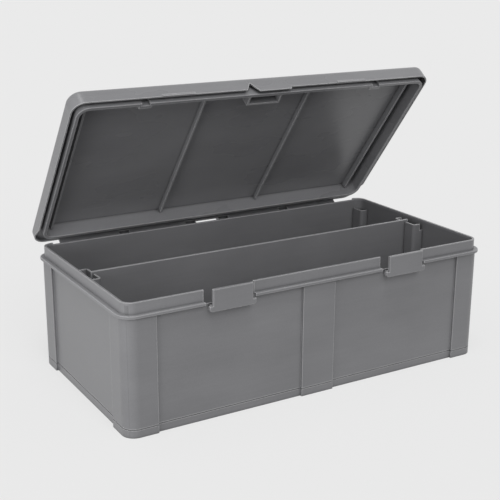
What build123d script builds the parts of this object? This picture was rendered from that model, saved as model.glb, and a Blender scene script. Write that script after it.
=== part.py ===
from build123d import *
import os
from math import cos, radians, sin

# Two-row card box with a hinged lid. Millimetres. +X runs along the length, the front faces -Y, +Z is up,
# and the origin is the centre of the underside. The lid is stored part open.

# Tub shell: the rim band's outside gives the length and the depth
tub_length = 400.0
tub_depth = 206.0
tub_height = 127.0
rim_wall = 2.4
floor_thickness = 2.6
rim_corner_radius = 11.0
rim_edge_round = 0.5
floor_edge_round = 2.0
back_rim_drop = 1.6
back_rim_margin = 1.0

# Ledge round the tub, under the rim, that the lid comes down to
ledge_reach = 4.4
ledge_thickness = 3.0
ledge_drop = 10.8
ledge_edge_round = 0.6

# Raised posts, panels between them, and the plinth at the foot with a fine groove over it
post_proud = 1.6
panel_recess = 2.4
side_post_width = 29.5
end_post_width = 30.5
mid_post_width = 36.5
post_edge_round = 0.4
plinth_height = 7.6
plinth_groove_height = 1.0
plinth_groove_depth = 0.6

# Open-topped pockets on the inside of the end walls
pocket_wall = 1.8
pocket_corner_round = 3.4
divider_pocket_reach = 13.0
divider_pocket_width = 34.0
divider_pocket_drop = 4.0
corner_pocket_reach = 9.4
corner_pocket_width = 17.0
corner_pocket_drop = 11.4

# Divider between the two rows
divider_thickness = 2.4
divider_drop = 1.6
divider_slot_gap = 0.2
divider_engagement = 4.0
divider_edge_round = 0.4

# Lid
lid_reach = 2.2
lid_rim_gap = 0.8
lid_seat_gap = 0.3
lid_inner_depth = 16.5
lid_panel_thickness = 2.6
lid_top_round = 5.0
lid_field_depth = 0.8
lid_field_margin = 24.0
lid_field_round = 12.0
groove_top_gap = 1.0
lip_drop = 2.5
lip_rim_gap = 0.4
lip_width = 3.4
back_lip_setback = 9.7
lip_corner_radius = 12.0
lip_edge_round = 0.4
lip_passage_gap = 0.6

# Ribs, front pocket, lip clips, front tab and sight notch of the lid
rib_thickness = 1.8
rib_height = 5.0
cross_rib_share = 0.15
side_rib_height = 6.8
side_rib_margin = 9.3
lid_pocket_length = 37.0
lid_pocket_depth = 13.0
lid_pocket_wall = 1.6
lid_pocket_drop = 1.8
lid_pocket_rib_height = 4.0
clip_share = 0.3275
clip_length = 8.5
clip_notch_depth = 3.0
clip_wall = 2.0
notch_width = 15.0
notch_height = 11.0
notch_offset = 18.5
tab_end = 25.0
tab_relief = 0.2

# Hinge behind the back wall, in two mirrored halves
hinge_out = 9.1
hinge_drop = 22.0
hinge_start = 15.0
lug_width = 12.0
outer_lug_width = 6.0
lug_radius = 5.0
lug_foot_drop = 24.0
hinge_end_inset = 26.0
inner_barrel_share = 0.528
barrel_radius = 4.2
barrel_web_thickness = 2.4
hinge_end_gap = 0.5
hinge_pin_radius = 1.5
pin_running_gap = 0.05
pin_end_inset = 0.5
skirt_gap_height = 3.2
corner_gap_height = 5.6
corner_gap_run = 16.0
housing_reach = 5.4
housing_wall = 1.2
housing_margin = 1.0
housing_height = 5.6
lid_stop_gap = 0.3
lid_rest_angle = 52.1
lid_full_angle = 105.0

# Two latches on the front, each turning on a pin behind its foot
latch_share = 0.245
latch_width = 41.0
latch_thickness = 2.6
latch_stand_off = 6.0
latch_rise = 1.8
latch_edge_round = 0.7
latch_foot_width = 48.0
latch_foot_round = 3.0
latch_side_gap = 2.0
latch_axis_out = 3.2
latch_axis_drop = 2.8
latch_knuckle_radius = 2.8
latch_pin_radius = 1.0
latch_lug_radius = 2.4
latch_lug_width = 4.0
latch_lug_offset = 14.0
latch_lug_gap = 0.3
catch_bar_proud = 0.6
catch_bar_height = 2.2
latch_catch_width = 34.0
latch_catch_height = 2.0
latch_catch_gap = 0.4
latch_catch_lift = 0.5

# One overrun serves every cut
overrun = 2.0

# Levels and planes that several pieces share
half_length = tub_length / 2
half_depth = tub_depth / 2
ledge_top = tub_height - ledge_drop
ledge_bottom = ledge_top - ledge_thickness
inner_half_length = half_length - rim_wall
inner_half_depth = half_depth - rim_wall
panel_face = post_proud - panel_recess
back_rim_top = tub_height - back_rim_drop

lid_edge = ledge_top + lid_seat_gap
lid_panel_low = lid_edge + lid_inner_depth
lid_top = lid_panel_low + lid_panel_thickness
groove_top = tub_height + groove_top_gap
skirt_edge = lid_edge + lip_drop
catch_bar_reach = lid_reach + catch_bar_proud
lip_outer_half_length = inner_half_length - lip_rim_gap
lip_inner_half_length = lip_outer_half_length - lip_width
lip_front = lip_rim_gap - inner_half_depth
lip_inner_front = lip_front + lip_width
lip_back = inner_half_depth - back_lip_setback
lip_inner_back = lip_back - lip_width

hinge_y = half_depth + hinge_out
hinge_z = tub_height - hinge_drop
hinge_axis = Axis((0, hinge_y, hinge_z), (-1, 0, 0))

cross_rib_offset = cross_rib_share * tub_length
clip_offset = clip_share * tub_length
latch_offset = latch_share * tub_length
latch_axis_y = half_depth + latch_axis_out
latch_axis_z = ledge_bottom - latch_axis_drop
latch_inner_face = half_depth + latch_stand_off
latch_window_width = latch_foot_width + 2 * latch_side_gap

# Spans along X of the hinge's lugs and barrels, outward from the middle
hinge_end = half_length - hinge_end_inset
barrel_room = hinge_end - hinge_start - 2 * lug_width - outer_lug_width - 4 * hinge_end_gap
lug_spans = []
barrel_spans = []
reach_x = hinge_start
for length_share in (inner_barrel_share, 1 - inner_barrel_share):
    lug_spans.append((reach_x, reach_x + lug_width))
    barrel_start = reach_x + lug_width + hinge_end_gap
    barrel_end = barrel_start + length_share * barrel_room
    barrel_spans.append((barrel_start, barrel_end))
    reach_x = barrel_end + hinge_end_gap
lug_spans.append((reach_x, hinge_end))


# A block with a rounded rectangular plan, centred on X
def rounded_block(length, depth, radius, low, high, centre_y=0):
    plan = RectangleRounded(length, depth, radius)
    return Pos(0, centre_y, low) * extrude(plan, amount=high - low)


# A plain block between two corners
def block(x_span, y_span, z_span):
    size = [high - low for low, high in (x_span, y_span, z_span)]
    centre = [(low + high) / 2 for low, high in (x_span, y_span, z_span)]
    return Pos(*centre) * Box(*size)


# The same span on the right (hand 1) or the left (hand -1)
def mirrored(span, hand):
    return tuple(sorted((hand * span[0], hand * span[1])))


# A round rod along X
def rod(x_span, y, z, radius):
    length = x_span[1] - x_span[0]
    return Pos((x_span[0] + x_span[1]) / 2, y, z) * Rot(0, 90, 0) * Cylinder(radius, length)


# A profile drawn in Y and Z, given a thickness along X
def plate(profile, x_span):
    return Pos(x_span[0], 0, 0) * extrude(Plane.YZ * profile, amount=x_span[1] - x_span[0])


# Plan of the tub's wall with its panels set back between the posts
def wall_plan(inset):
    face_x = half_length + post_proud - inset
    face_y = half_depth + post_proud - inset
    corner = rim_corner_radius + post_proud - inset
    plan = RectangleRounded(2 * face_x, 2 * face_y, corner)
    side_low = mid_post_width / 2 - inset
    side_high = half_length - side_post_width + inset
    end_half = half_depth - end_post_width + inset
    corners = []
    for side in (-1, 1):
        for hand in (-1, 1):
            centre = Pos(hand * (side_low + side_high) / 2, side * face_y)
            plan -= centre * Rectangle(side_high - side_low, 2 * panel_recess)
            for x in (side_low, side_high):
                corners += [(hand * x, side * face_y), (hand * x, side * (face_y - panel_recess))]
            corners += [(side * face_x, hand * end_half), (side * (face_x - panel_recess), hand * end_half)]
        plan -= Pos(side * face_x, 0) * Rectangle(2 * panel_recess, 2 * end_half)
    points = [plan.vertices().sort_by_distance(Vector(x, y, 0))[0] for x, y in corners]
    return fillet(points, post_edge_round)


# Hollow of the tub, with a rounded floor edge
def tub_cavity():
    cavity = rounded_block(2 * inner_half_length, 2 * inner_half_depth, rim_corner_radius - rim_wall,
                           floor_thickness, tub_height + overrun)
    return fillet(cavity.edges().group_by(Axis.Z)[0], floor_edge_round)


# Shell of an open-topped pocket on an end wall, rooted half way into the walls and the floor;
# next to the wall it stops short of the closed lid's lip
def pocket_shell(hand, reach, y_span, top):
    root = rim_wall / 2
    shell_x = mirrored((inner_half_length - reach, half_length), hand)
    shell = block(shell_x, y_span, (floor_thickness / 2, top))
    shell = fillet(shell.edges().filter_by(Axis.Z), pocket_corner_round)
    wall_core = rounded_block(tub_length - 2 * root, tub_depth - 2 * root, rim_corner_radius - root,
                              0, tub_height)
    passage_x = mirrored((lip_inner_half_length - lip_passage_gap, tub_length), hand)
    passage = block(passage_x, (-tub_depth, tub_depth), (lid_edge - lip_passage_gap, tub_height + overrun))
    return (shell & wall_core) - passage


# Hollow of the same pocket; the end wall closes its outer side
def pocket_hollow(hand, reach, y_span, cavity):
    hollow_x = mirrored((inner_half_length - reach + pocket_wall, half_length), hand)
    hollow_y = (y_span[0] + pocket_wall, y_span[1] - pocket_wall)
    return block(hollow_x, hollow_y, (floor_thickness, tub_height)) & cavity


# Hinge lug with a heel that the lid's housing meets when the lid is fully open
def hinge_lug(x_span):
    stop_y = hinge_out - housing_reach - lid_stop_gap
    stop_z = skirt_edge + housing_height / 2 - hinge_z
    turn = radians(lid_full_angle)
    heel_y = hinge_y - stop_y * cos(turn) + stop_z * sin(turn)
    heel_z = hinge_z + stop_y * sin(turn) + stop_z * cos(turn)
    eye = Pos(hinge_y, hinge_z) * Circle(lug_radius)
    wall_y = half_depth + panel_face - (rim_wall + panel_face) / 2
    foot = (wall_y, ledge_bottom - lug_foot_drop)
    shoulder = (half_depth, ledge_bottom)
    outline = eye.edges() + [Edge.make_line(foot, shoulder), Edge.make_line(shoulder, (heel_y, heel_z))]
    return plate(make_hull(outline), x_span)


# Lug under a latch window that carries the latch pin
def latch_lug(x_span):
    eye = Pos(-latch_axis_y, latch_axis_z) * Circle(latch_lug_radius)
    wall_y = -(half_depth + panel_face - (rim_wall + panel_face) / 2)
    top = (wall_y, latch_axis_z + latch_lug_radius)
    foot = (wall_y, latch_axis_z - latch_lug_radius)
    return plate(make_hull(eye.edges() + [Edge.make_line(top, foot)]), x_span)


def make_tub():
    neck_top = plinth_height + plinth_groove_height
    plan = wall_plan(0)
    plinth = extrude(plan, amount=plinth_height)
    neck = Pos(0, 0, plinth_height) * extrude(wall_plan(plinth_groove_depth), amount=plinth_groove_height)
    walls = Pos(0, 0, neck_top) * extrude(plan, amount=ledge_bottom - neck_top)
    ledge = rounded_block(tub_length + 2 * ledge_reach, tub_depth + 2 * ledge_reach,
                          rim_corner_radius + ledge_reach, ledge_bottom, ledge_top)
    levels = ledge.edges().group_by(Axis.Z)
    ledge = fillet(levels[0] + levels[-1], ledge_edge_round)
    rim = rounded_block(tub_length, tub_depth, rim_corner_radius, ledge_bottom, tub_height)
    cavity = tub_cavity()
    back_half = half_length - rim_corner_radius - back_rim_margin
    back_cut = block((-back_half, back_half), (0, tub_depth), (back_rim_top, tub_height + overrun))
    tub = plinth + neck + walls + ledge + rim - cavity
    tub = fillet(tub.edges().group_by(Axis.Z)[-1], rim_edge_round) - back_cut
    tub = fillet(tub.faces().filter_by(Axis.Z).sort_by_distance((0, half_depth, back_rim_top))[0]
                 .edges().filter_by(Axis.X), rim_edge_round)

    for hand in (-1, 1):
        half_pocket = divider_pocket_width / 2
        corner_start = inner_half_depth - corner_pocket_width
        for reach, y_span, drop in ((divider_pocket_reach, (-half_pocket, half_pocket), divider_pocket_drop),
                                    (corner_pocket_reach, (corner_start, half_depth), corner_pocket_drop)):
            tub += pocket_shell(hand, reach, y_span, tub_height - drop)
            tub -= pocket_hollow(hand, reach, y_span, cavity)
        slot_start = inner_half_length - divider_pocket_reach - overrun
        slot_x = mirrored((slot_start, inner_half_length - pocket_wall), hand)
        slot_half = divider_thickness / 2 + divider_slot_gap
        tub -= block(slot_x, (-slot_half, slot_half), (floor_thickness, tub_height))

        for span in lug_spans:
            tub += hinge_lug(mirrored(span, hand))
        bore = mirrored((hinge_start - overrun, hinge_end + overrun), hand)
        tub -= rod(bore, hinge_y, hinge_z, hinge_pin_radius + pin_running_gap)

        latch_x = hand * latch_offset
        window_x = (latch_x - latch_window_width / 2, latch_x + latch_window_width / 2)
        window_y = (-tub_depth, -inner_half_depth + overrun)
        tub -= block(window_x, window_y, (ledge_bottom, tub_height + overrun))
        for side in (-1, 1):
            centre = latch_x + side * latch_lug_offset
            tub += latch_lug((centre - latch_lug_width / 2, centre + latch_lug_width / 2))
        tub -= rod(window_x, -latch_axis_y, latch_axis_z, latch_pin_radius + pin_running_gap)
    return tub


def make_row_divider():
    half_span = inner_half_length - divider_pocket_reach + divider_engagement
    board = block((-half_span, half_span), (-divider_thickness / 2, divider_thickness / 2),
                  (floor_thickness, tub_height - divider_drop))
    return fillet(board.edges().filter_by(Axis.X).group_by(Axis.Z)[-1], divider_edge_round)


# Shell of the lid, closed: top panel, skirt, groove for the rim and the lip that hangs below the skirt
def lid_shell():
    shell = rounded_block(tub_length + 2 * lid_reach, tub_depth + 2 * lid_reach,
                          rim_corner_radius + lid_reach, skirt_edge, lid_top)
    shell = fillet(shell.edges().group_by(Axis.Z)[-1], lid_top_round)
    groove = rounded_block(tub_length + 2 * lid_rim_gap, tub_depth + 2 * lid_rim_gap,
                           rim_corner_radius + lid_rim_gap, lid_edge, groove_top)
    lip = rounded_block(2 * lip_outer_half_length, lip_back - lip_front, lip_corner_radius,
                        lid_edge, lid_panel_low, (lip_back + lip_front) / 2)
    hollow = rounded_block(2 * lip_inner_half_length, lip_inner_back - lip_inner_front,
                           lip_corner_radius - lip_width, lid_edge - overrun, lid_panel_low,
                           (lip_inner_back + lip_inner_front) / 2)
    shell = shell - groove + lip - hollow
    lip_face = shell.faces().filter_by(Axis.Z).sort_by(Axis.Z)[0]
    shell = fillet(lip_face.edges(), lip_edge_round)
    field = rounded_block(tub_length - 2 * lid_field_margin, tub_depth - 2 * lid_field_margin,
                          lid_field_round, lid_top - lid_field_depth, lid_top + overrun)
    return shell - field


# Ribs under the lid's panel and the small open pocket behind its front lip
def lid_ribs():
    run_y = (lip_inner_front - lip_width / 2, lip_inner_back + lip_width / 2)
    high = lid_panel_low + lid_panel_thickness / 2
    ribs = []
    for offset, height in ((cross_rib_offset, rib_height),
                           (lip_inner_half_length - side_rib_margin, side_rib_height)):
        for hand in (-1, 1):
            x_span = (hand * offset - rib_thickness / 2, hand * offset + rib_thickness / 2)
            ribs.append(block(x_span, run_y, (lid_panel_low - height, high)))
    half = lid_pocket_length / 2
    front_y = lip_inner_front
    back_y = front_y + lid_pocket_depth
    pocket_low = lid_edge + lid_pocket_drop
    frame = block((-half, half), (front_y - lip_width / 2, back_y), (pocket_low, high))
    frame -= block((lid_pocket_wall - half, half - lid_pocket_wall), (front_y, back_y - lid_pocket_wall),
                   (pocket_low - overrun, lid_panel_low))
    ribs.append(frame)
    mid_y = (front_y + back_y - lid_pocket_wall) / 2
    ribs.append(block((lid_pocket_wall / 2 - half, half - lid_pocket_wall / 2),
                      (mid_y - lid_pocket_wall / 2, mid_y + lid_pocket_wall / 2),
                      (pocket_low + lid_pocket_rib_height, high)))
    return ribs


def make_lid():
    lid = lid_shell()
    for rib in lid_ribs():
        lid += rib

    for hand in (-1, 1):
        x = hand * clip_offset
        outer = clip_length / 2 + clip_wall
        clip_back = lip_front + clip_notch_depth
        jog_y = (lip_front + lip_width / 2, lip_inner_front + clip_notch_depth)
        lid += block((x - outer, x + outer), jog_y, (lid_edge, lid_panel_low))
        lid -= block((x - clip_length / 2, x + clip_length / 2), (-half_depth, clip_back),
                     (lid_edge - overrun, groove_top))

    tab_y = (-(half_depth + lid_reach), -(half_depth + lid_rim_gap + tab_relief))
    lid += block((-notch_offset, tab_end), tab_y, (lid_edge, skirt_edge + catch_bar_height))
    triangle = Polygon((-notch_width / 2, 0), (notch_width / 2, 0), (0, notch_height), align=None)
    notch = Pos(-notch_offset, lid_edge) * triangle
    notch_y = half_depth + lid_reach + overrun
    lid -= extrude(Plane((0, -notch_y, 0), x_dir=(1, 0, 0), z_dir=(0, -1, 0)) * notch,
                   amount=-(lid_reach + overrun))

    skirt_mid = half_depth + (lid_rim_gap + lid_reach) / 2
    bar_y = (-(half_depth + catch_bar_reach), -skirt_mid)
    gap_z = (lid_edge, skirt_edge + skirt_gap_height)
    gap_y = (half_depth, tub_depth)
    corner_y = (lip_back + lip_rim_gap, tub_depth)
    corner_z = (lid_edge, skirt_edge + corner_gap_height)
    run_start = (corner_y[0] - corner_gap_run, skirt_edge)
    run_end = (corner_y[0], skirt_edge + corner_gap_height)
    run_off = Polygon(run_start, (corner_y[0], skirt_edge), run_end, align=None)
    lid -= block((-hinge_start, hinge_start), gap_y, gap_z)
    web_back = hinge_y + barrel_radius
    web_top = skirt_edge + barrel_web_thickness
    for hand in (-1, 1):
        bar_x = (hand * latch_offset - latch_catch_width / 2, hand * latch_offset + latch_catch_width / 2)
        lid += block(bar_x, bar_y, (skirt_edge, skirt_edge + catch_bar_height))
        lid -= block(mirrored((hinge_end, tub_length), hand), corner_y, corner_z)
        lid -= plate(run_off, mirrored((half_length, tub_length), hand))
        for span in lug_spans[:-1]:
            low, high = mirrored(span, hand)
            housing_back = half_depth + housing_reach
            lid += block((low - housing_margin, high + housing_margin), (skirt_mid, housing_back),
                         (skirt_edge, skirt_edge + housing_height))
            lid -= block((low, high), (half_depth, housing_back - housing_wall),
                         (lid_edge, skirt_edge + housing_height - housing_wall))
        for span in barrel_spans:
            span = mirrored(span, hand)
            lid += rod(span, hinge_y, hinge_z, barrel_radius)
            lid += block(span, (skirt_mid, web_back), (skirt_edge, web_top))
            lid += block(span, (web_back - barrel_web_thickness, web_back), (hinge_z, web_top))
        bore = mirrored((hinge_start - overrun, hinge_end + overrun), hand)
        lid -= rod(bore, hinge_y, hinge_z, hinge_pin_radius + pin_running_gap)
    return lid.rotate(hinge_axis, lid_rest_angle)


def make_hinge_pin(hand):
    span = mirrored((hinge_start + pin_end_inset, hinge_end - pin_end_inset), hand)
    return rod(span, hinge_y, hinge_z, hinge_pin_radius)


# Upright latch: front plate with a wider foot, three knuckles behind the foot and a catch ridge near the top
def make_latch(hand):
    front = -(latch_inner_face + latch_thickness)
    foot_low = latch_axis_z - latch_knuckle_radius
    foot_high = latch_axis_z + latch_knuckle_radius
    face_y = (front, -latch_inner_face)
    panel = block((-latch_width / 2, latch_width / 2), face_y, (foot_low, tub_height + latch_rise))
    foot = block((-latch_foot_width / 2, latch_foot_width / 2), face_y, (foot_low, foot_high))
    foot = fillet(foot.edges().filter_by(Axis.Y).group_by(Axis.Z)[0], latch_foot_round)
    latch = panel + foot
    latch = fillet(latch.edges().group_by(Axis.Y)[0], latch_edge_round)

    lug_inner = latch_lug_offset - latch_lug_width / 2 - latch_lug_gap
    lug_outer = latch_lug_offset + latch_lug_width / 2 + latch_lug_gap
    knuckle_end = latch_foot_width / 2 - latch_foot_round
    for span in ((-knuckle_end, -lug_outer), (-lug_inner, lug_inner), (lug_outer, knuckle_end)):
        latch += rod(span, -latch_axis_y, latch_axis_z, latch_knuckle_radius)
        latch += block(span, (front + latch_thickness / 2, -latch_axis_y), (foot_low, foot_high))
    latch -= rod((-latch_foot_width, latch_foot_width), -latch_axis_y, latch_axis_z,
                 latch_pin_radius + pin_running_gap)

    catch_low = skirt_edge + catch_bar_height + latch_catch_lift
    catch_tip = -(half_depth + catch_bar_reach + latch_catch_gap)
    latch += block((-latch_catch_width / 2, latch_catch_width / 2), (front + latch_thickness / 2, catch_tip),
                   (catch_low, catch_low + latch_catch_height))
    return Pos(hand * latch_offset, 0, 0) * latch


def make_latch_pin(hand):
    centre = hand * latch_offset
    half = latch_foot_width / 2 - latch_foot_round - pin_end_inset
    return rod((centre - half, centre + half), -latch_axis_y, latch_axis_z, latch_pin_radius)


nodes = {
    "tub": make_tub(),
    "row_divider": make_row_divider(),
    "lid": make_lid(),
}
for side_name, side_hand in (("left", -1), ("right", 1)):
    nodes[f"hinge_pin_{side_name}"] = make_hinge_pin(side_hand)
    nodes[f"latch_{side_name}"] = make_latch(side_hand)
    nodes[f"latch_pin_{side_name}"] = make_latch_pin(side_hand)

os.makedirs("parts", exist_ok=True)
for name, shape in nodes.items():
    export_step(shape, f"parts/{name}.step")
    print(name, len(shape.solids()), round(shape.volume))
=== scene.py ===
import bpy
import math
from mathutils import Matrix, Vector

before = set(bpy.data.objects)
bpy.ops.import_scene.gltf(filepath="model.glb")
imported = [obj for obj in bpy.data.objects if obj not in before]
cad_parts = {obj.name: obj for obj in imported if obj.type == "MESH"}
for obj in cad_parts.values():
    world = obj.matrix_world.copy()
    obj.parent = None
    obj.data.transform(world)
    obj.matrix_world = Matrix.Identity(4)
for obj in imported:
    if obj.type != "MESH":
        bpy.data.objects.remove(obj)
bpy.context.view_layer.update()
bpy.ops.object.select_all(action="DESELECT")
scene = bpy.context.scene
scene.view_settings.view_transform = "Standard"
print("frame loaded:", sorted(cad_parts))


# Small helpers for building material nodes
def newMaterial(name):
    material = bpy.data.materials.new(name)
    material.use_nodes = True
    material.node_tree.nodes.clear()
    return material, material.node_tree


def addNode(tree, kind, **values):
    node = tree.nodes.new(kind)
    for key, value in values.items():
        if key in node.inputs:
            node.inputs[key].default_value = value
        else:
            setattr(node, key, value)
    return node


def noiseOver(tree, coords, scale, detail, stretch=(1.0, 1.0, 1.0)):
    mapping = addNode(tree, "ShaderNodeMapping", Scale=stretch)
    noise = addNode(tree, "ShaderNodeTexNoise", Scale=scale, Detail=detail)
    tree.links.new(coords, mapping.inputs["Vector"])
    tree.links.new(mapping.outputs["Vector"], noise.inputs["Vector"])
    return noise.outputs["Fac"]


def spread(tree, value, low, high, toLow, toHigh):
    limits = {"From Min": low, "From Max": high, "To Min": toLow, "To Max": toHigh}
    node = addNode(tree, "ShaderNodeMapRange", **limits)
    tree.links.new(value, node.inputs["Value"])
    return node.outputs["Result"]


def calc(tree, operation, first, second):
    node = addNode(tree, "ShaderNodeMath", operation=operation)
    for socket, value in zip(node.inputs, (first, second)):
        if isinstance(value, (int, float)):
            socket.default_value = value
        else:
            tree.links.new(value, socket)
    return node.outputs["Value"]


# Pale painted highlight line where two faces meet: the angle between the face and a rounded copy
# of it
def paintedEdgeHighlight(tree, look):
    rounded = addNode(tree, "ShaderNodeBevel", samples=look["edgeSamples"],
                      Radius=look["edgeRadius"])
    geometry = addNode(tree, "ShaderNodeNewGeometry")
    dot = addNode(tree, "ShaderNodeVectorMath", operation="DOT_PRODUCT")
    tree.links.new(rounded.outputs["Normal"], dot.inputs[0])
    tree.links.new(geometry.outputs["Normal"], dot.inputs[1])
    turned = calc(tree, "SUBTRACT", 1.0, dot.outputs["Value"])
    return spread(tree, turned, look["edgeStart"], look["edgeFull"], 0.0, 1.0)


# How open a place is within a short reach: near 1 on open faces, low in grooves and inner corners
def openness(tree, look):
    node = addNode(tree, "ShaderNodeAmbientOcclusion", samples=look["creaseSamples"],
                   Distance=look["creaseReach"])
    return node.outputs["AO"]


# The colour sockets of a mix node, which share their names with its number sockets
mixSockets = {"first": 6, "second": 7, "result": 2}


def tintBetween(tree, factor, first, second):
    mix = addNode(tree, "ShaderNodeMix", data_type="RGBA")
    tree.links.new(factor, mix.inputs["Factor"])
    for place, value in (("first", first), ("second", second)):
        socket = mix.inputs[mixSockets[place]]
        if isinstance(value, tuple):
            socket.default_value = value + (1.0,)
        else:
            tree.links.new(value, socket)
    return mix.outputs[mixSockets["result"]]


# Plug a shader into a new output and hand the material back
def finishMaterial(material, tree, shader):
    output = addNode(tree, "ShaderNodeOutputMaterial")
    tree.links.new(shader, output.inputs["Surface"])
    return material


# Grey moulded plastic: spark-eroded grain, faint flow clouds and streaks, painted shade in
# grooves and inner corners, and a pale painted highlight along edges
plasticLook = {
    "dark": (0.214, 0.214, 0.223),
    "pale": (0.25, 0.25, 0.26),
    # Colour of the pale painted highlight along edges
    "edgeHighlightTone": (0.56, 0.56, 0.57),
    "cloudScale": 9.0,
    "cloudDetail": 3.0,
    "cloudRange": (0.3, 0.7),
    "streakScale": 420.0,
    "streakDetail": 2.0,
    "streakStretch": (0.03, 1.0, 1.0),
    "streakRange": (0.3, 0.7),
    "streakTone": (0.985, 1.015),
    "grainScale": 1500.0,
    "grainDetail": 2.0,
    "grainRange": (0.25, 0.75),
    "grainTone": (0.94, 1.06),
    "grainHeight": 0.00006,
    "grainStrength": 0.35,
    "edgeSamples": 6,
    "edgeRadius": 0.0014,
    "edgeStart": 0.01,
    "edgeFull": 0.1,
    "highlightOpenRange": (0.65, 0.9),
    # Painted shade in grooves and inner corners, from how open each place is; the same openness
    # fades the pale painted highlight
    "creaseSamples": 8,
    "creaseReach": 0.005,
    "creaseShadeRange": (0.3, 0.8),
    "creaseShadeTone": (0.45, 1.0),
    "rough": (0.3, 0.4),
    "specular": 0.5,
}


# The lid's plastic is a little smoother
lidLook = dict(plasticLook, rough=(0.24, 0.32))


# Painted shade within the tub and the divider: the colour is darker below the rim, between the
# tub's walls
insideShadeLook = {
    "halfLength": 0.198,
    "halfDepth": 0.101,
    "top": 0.1245,
    "tone": 0.78,
}


# Painted shade: full colour outside, the darker tone within the box below the rim
def paintedInsideShade(tree, coords, look):
    place = addNode(tree, "ShaderNodeSeparateXYZ")
    tree.links.new(coords, place.inputs["Vector"])
    within = calc(tree, "LESS_THAN", place.outputs["Z"], look["top"])
    for axis, half in (("X", look["halfLength"]), ("Y", look["halfDepth"])):
        short = calc(tree, "LESS_THAN", calc(tree, "ABSOLUTE", place.outputs[axis], 0.0), half)
        within = calc(tree, "MULTIPLY", within, short)
    return spread(tree, within, 0.0, 1.0, 1.0, look["tone"])


def mouldedPlastic(name, look, flow, insideShade=None):
    material, tree = newMaterial(name)
    coords = addNode(tree, "ShaderNodeTexCoord").outputs["Object"]
    cloud = noiseOver(tree, coords, look["cloudScale"], look["cloudDetail"], flow)
    grain = noiseOver(tree, coords, look["grainScale"], look["grainDetail"])
    clouded = spread(tree, cloud, *look["cloudRange"], 0.0, 1.0)
    body = tintBetween(tree, clouded, look["dark"], look["pale"])
    streak = noiseOver(tree, coords, look["streakScale"], look["streakDetail"],
                       look["streakStretch"])
    speckAndShade = calc(tree, "MULTIPLY", spread(tree, grain, *look["grainRange"], *look["grainTone"]),
                 spread(tree, streak, *look["streakRange"], *look["streakTone"]))
    # Painted shade: the colour is darkened in grooves and inner corners, where little room light
    # reaches
    airy = openness(tree, look)
    creaseShade = spread(tree, airy, *look["creaseShadeRange"], *look["creaseShadeTone"])
    speckAndShade = calc(tree, "MULTIPLY", speckAndShade, creaseShade)
    # Painted shade darkens the colour within the tub
    if insideShade:
        speckAndShade = calc(tree, "MULTIPLY", speckAndShade, paintedInsideShade(tree, coords, insideShade))
    speckledAndShaded = addNode(tree, "ShaderNodeMix", data_type="RGBA", blend_type="MULTIPLY", Factor=1.0)
    tree.links.new(body, speckledAndShaded.inputs[mixSockets["first"]])
    tree.links.new(speckAndShade, speckledAndShaded.inputs[mixSockets["second"]])
    # Painted highlight: a pale line along open edges, fading where it lies in a groove
    highlightMask = paintedEdgeHighlight(tree, look)
    highlightMask = calc(tree, "MULTIPLY", highlightMask, spread(tree, airy, *look["highlightOpenRange"], 0.0, 1.0))
    colour = tintBetween(tree, highlightMask, speckledAndShaded.outputs[mixSockets["result"]], look["edgeHighlightTone"])
    bump = addNode(tree, "ShaderNodeBump", Strength=look["grainStrength"],
                   Distance=look["grainHeight"])
    tree.links.new(grain, bump.inputs["Height"])
    rough = spread(tree, cloud, *look["cloudRange"], *look["rough"])
    shader = addNode(tree, "ShaderNodeBsdfPrincipled", **{"Specular IOR Level": look["specular"]})
    tree.links.new(colour, shader.inputs["Base Color"])
    tree.links.new(rough, shader.inputs["Roughness"])
    tree.links.new(bump.outputs["Normal"], shader.inputs["Normal"])
    return finishMaterial(material, tree, shader.outputs["BSDF"])


# Drawn steel rod for the pins
steelLook = {
    "dark": (0.46, 0.46, 0.47),
    "pale": (0.62, 0.62, 0.63),
    "drawScale": 700.0,
    "drawDetail": 3.0,
    "drawStretch": (0.04, 1.0, 1.0),
    "drawRange": (0.3, 0.7),
    "rough": (0.24, 0.42),
    "lineStrength": 0.2,
    "lineHeight": 0.00003,
}


def drawnSteel(name, look):
    material, tree = newMaterial(name)
    coords = addNode(tree, "ShaderNodeTexCoord").outputs["Object"]
    lines = noiseOver(tree, coords, look["drawScale"], look["drawDetail"], look["drawStretch"])
    bump = addNode(tree, "ShaderNodeBump", Strength=look["lineStrength"],
                   Distance=look["lineHeight"])
    tree.links.new(lines, bump.inputs["Height"])
    colour = tintBetween(tree, lines, look["dark"], look["pale"])
    rough = spread(tree, lines, *look["drawRange"], *look["rough"])
    shader = addNode(tree, "ShaderNodeBsdfPrincipled", Metallic=1.0)
    tree.links.new(colour, shader.inputs["Base Color"])
    tree.links.new(rough, shader.inputs["Roughness"])
    tree.links.new(bump.outputs["Normal"], shader.inputs["Normal"])
    return finishMaterial(material, tree, shader.outputs["BSDF"])


def dress(material, *names):
    for name in names:
        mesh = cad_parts[name].data
        mesh.materials.clear()
        mesh.materials.append(material)


# How closely the flow clouds are packed along each axis of a piece
flowOf = {
    "tub": (1.0, 1.0, 2.5),
    "divider": (1.0, 1.0, 2.0),
    "lid": (1.0, 2.0, 2.0),
    "latch": (1.0, 1.0, 1.0),
}

dress(mouldedPlastic("tubPlastic", plasticLook, flowOf["tub"], insideShadeLook), "tub")
dress(mouldedPlastic("dividerPlastic", plasticLook, flowOf["divider"], insideShadeLook), "row_divider")
dress(mouldedPlastic("lidPlastic", lidLook, flowOf["lid"]), "lid")
dress(mouldedPlastic("latchPlastic", plasticLook, flowOf["latch"]), "latch_left", "latch_right")
dress(drawnSteel("pinSteel", steelLook),
      "hinge_pin_left", "hinge_pin_right", "latch_pin_left", "latch_pin_right")
print("materials on:", len(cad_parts), "nodes")


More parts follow.
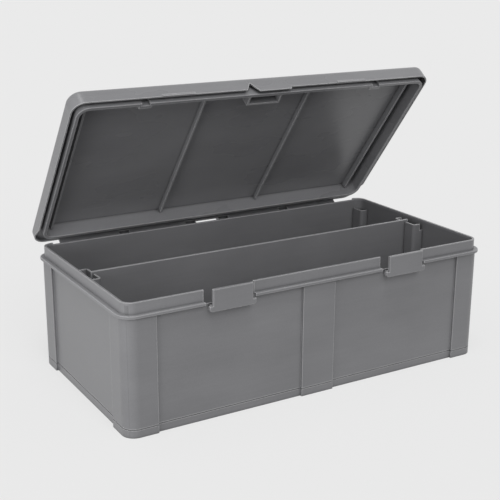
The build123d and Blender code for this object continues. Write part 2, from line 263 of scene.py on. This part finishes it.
# Pale floor under the box: rays that are seen find it brighter than light that bounces off it
sweepLook = {
    "size": 60.0,
    "seen": 0.823,
    "seenGlow": 1.01,
    "glowShare": 0.62,
    "seenTone": (0.6, 0.6, 0.6),
    "bounceTone": (0.3, 0.3, 0.3),
}


# One for camera, glossy and transmission rays, zero for all others
def paleRays(tree):
    path = addNode(tree, "ShaderNodeLightPath")
    seen = calc(tree, "MAXIMUM", path.outputs["Is Camera Ray"], path.outputs["Is Glossy Ray"])
    return calc(tree, "MAXIMUM", seen, path.outputs["Is Transmission Ray"])


def makeSweep(look):
    bpy.ops.mesh.primitive_plane_add(size=look["size"], location=(0.0, 0.0, 0.0))
    floor = bpy.context.active_object
    floor.name = "paleFloor"
    material, tree = newMaterial("paleSweep")
    shaded = addNode(tree, "ShaderNodeBsdfDiffuse", Color=look["seenTone"] + (1.0,))
    glow = addNode(tree, "ShaderNodeEmission", Strength=look["seenGlow"])
    seen = addNode(tree, "ShaderNodeMixShader", Fac=look["glowShare"])
    tree.links.new(shaded.outputs["BSDF"], seen.inputs[1])
    tree.links.new(glow.outputs["Emission"], seen.inputs[2])
    bounce = addNode(tree, "ShaderNodeBsdfDiffuse", Color=look["bounceTone"] + (1.0,))
    mix = addNode(tree, "ShaderNodeMixShader")
    tree.links.new(paleRays(tree), mix.inputs["Fac"])
    tree.links.new(bounce.outputs["BSDF"], mix.inputs[1])
    tree.links.new(seen.outputs["Shader"], mix.inputs[2])
    floor.data.materials.append(finishMaterial(material, tree, mix.outputs["Shader"]))
    bpy.ops.object.select_all(action="DESELECT")
    return floor


paleFloor = makeSweep(sweepLook)


# Even room light, a soft key from the front, one from overhead and a soft panel close on the left
lightLook = {
    "white": (1.0, 1.0, 1.0, 1.0),
    "ambient": 0.42,
    "suns": {
        "softKey": {"strength": 0.95, "angle": 40.0, "comesFrom": (-0.1, -0.8, 0.6)},
        "overhead": {"strength": 0.85, "angle": 25.0, "comesFrom": (-0.15, -0.2, 1.0)},
    },
    "sidePanel": {"power": 1.2, "width": 0.35, "height": 0.3,
                  "place": (-0.68, -0.2, 0.2), "aim": (-0.2, 0.0, 0.13)},
}


# The turn that points a light's back at a direction, so that it shines the other way
def turnTo(direction):
    return Vector(direction).to_track_quat("Z", "Y").to_euler()


def makeLight(look, sweep, floor):
    world = bpy.data.worlds.new("studioRoom")
    scene.world = world
    world.use_nodes = True
    tree = world.node_tree
    tree.nodes.clear()
    room = addNode(tree, "ShaderNodeBackground", Strength=look["ambient"], Color=look["white"])
    seen = addNode(tree, "ShaderNodeBackground", Strength=sweep["seen"], Color=look["white"])
    mix = addNode(tree, "ShaderNodeMixShader")
    tree.links.new(paleRays(tree), mix.inputs["Fac"])
    tree.links.new(room.outputs["Background"], mix.inputs[1])
    tree.links.new(seen.outputs["Background"], mix.inputs[2])
    output = addNode(tree, "ShaderNodeOutputWorld")
    tree.links.new(mix.outputs["Shader"], output.inputs["Surface"])
    for name, values in look["suns"].items():
        bpy.ops.object.light_add(type="SUN")
        sun = bpy.context.active_object
        sun.name = name
        sun.data.energy = values["strength"]
        sun.data.angle = math.radians(values["angle"])
        sun.rotation_euler = turnTo(values["comesFrom"])
    side = look["sidePanel"]
    bpy.ops.object.light_add(type="AREA", location=side["place"])
    panel = bpy.context.active_object
    panel.name = "sidePanel"
    panel.data.shape = "RECTANGLE"
    panel.data.size = side["width"]
    panel.data.size_y = side["height"]
    panel.data.energy = side["power"]
    panel.rotation_euler = turnTo(Vector(side["place"]) - Vector(side["aim"]))
    panel.visible_camera = False
    # The panel leaves the floor alone, or it would make a bright patch there
    spared = bpy.data.collections.new("sidePanelSpares")
    spared.objects.link(floor)
    spared.collection_objects[0].light_linking.link_state = "EXCLUDE"
    panel.light_linking.receiver_collection = spared
    bpy.ops.object.select_all(action="DESELECT")


makeLight(lightLook, sweepLook, paleFloor)
print("floor and light ready")


# Camera where the photograph was taken from, in metres and degrees
cameraLook = {
    "azimuth": -30.768,
    "elevation": 16.986,
    "roll": 0.3,
    "distance": 1.15162,
    "target": (0.03984, 0.09211, 0.08731),
    "focalPixels": 1018.95,
    "imageSide": 500.0,
    "sensor": 36.0,
}


def makeCamera(look):
    azimuth = math.radians(look["azimuth"])
    elevation = math.radians(look["elevation"])
    roll = math.radians(look["roll"])
    level = math.cos(elevation)
    back = Vector((math.sin(azimuth) * level, -math.cos(azimuth) * level, math.sin(elevation)))
    right = (-back).cross(Vector((0.0, 0.0, 1.0))).normalized()
    up = back.cross(right)
    turnedRight = right * math.cos(roll) + up * math.sin(roll)
    turnedUp = up * math.cos(roll) - right * math.sin(roll)
    place = Vector(look["target"]) + back * look["distance"]
    data = bpy.data.cameras.new("photoCamera")
    data.sensor_width = look["sensor"]
    data.lens = look["focalPixels"] / look["imageSide"] * look["sensor"]
    camera = bpy.data.objects.new("photoCamera", data)
    scene.collection.objects.link(camera)
    columns = Matrix((turnedRight, turnedUp, back)).transposed()
    camera.matrix_world = Matrix.Translation(place) @ columns.to_4x4()
    scene.camera = camera


makeCamera(cameraLook)
print("camera ready")
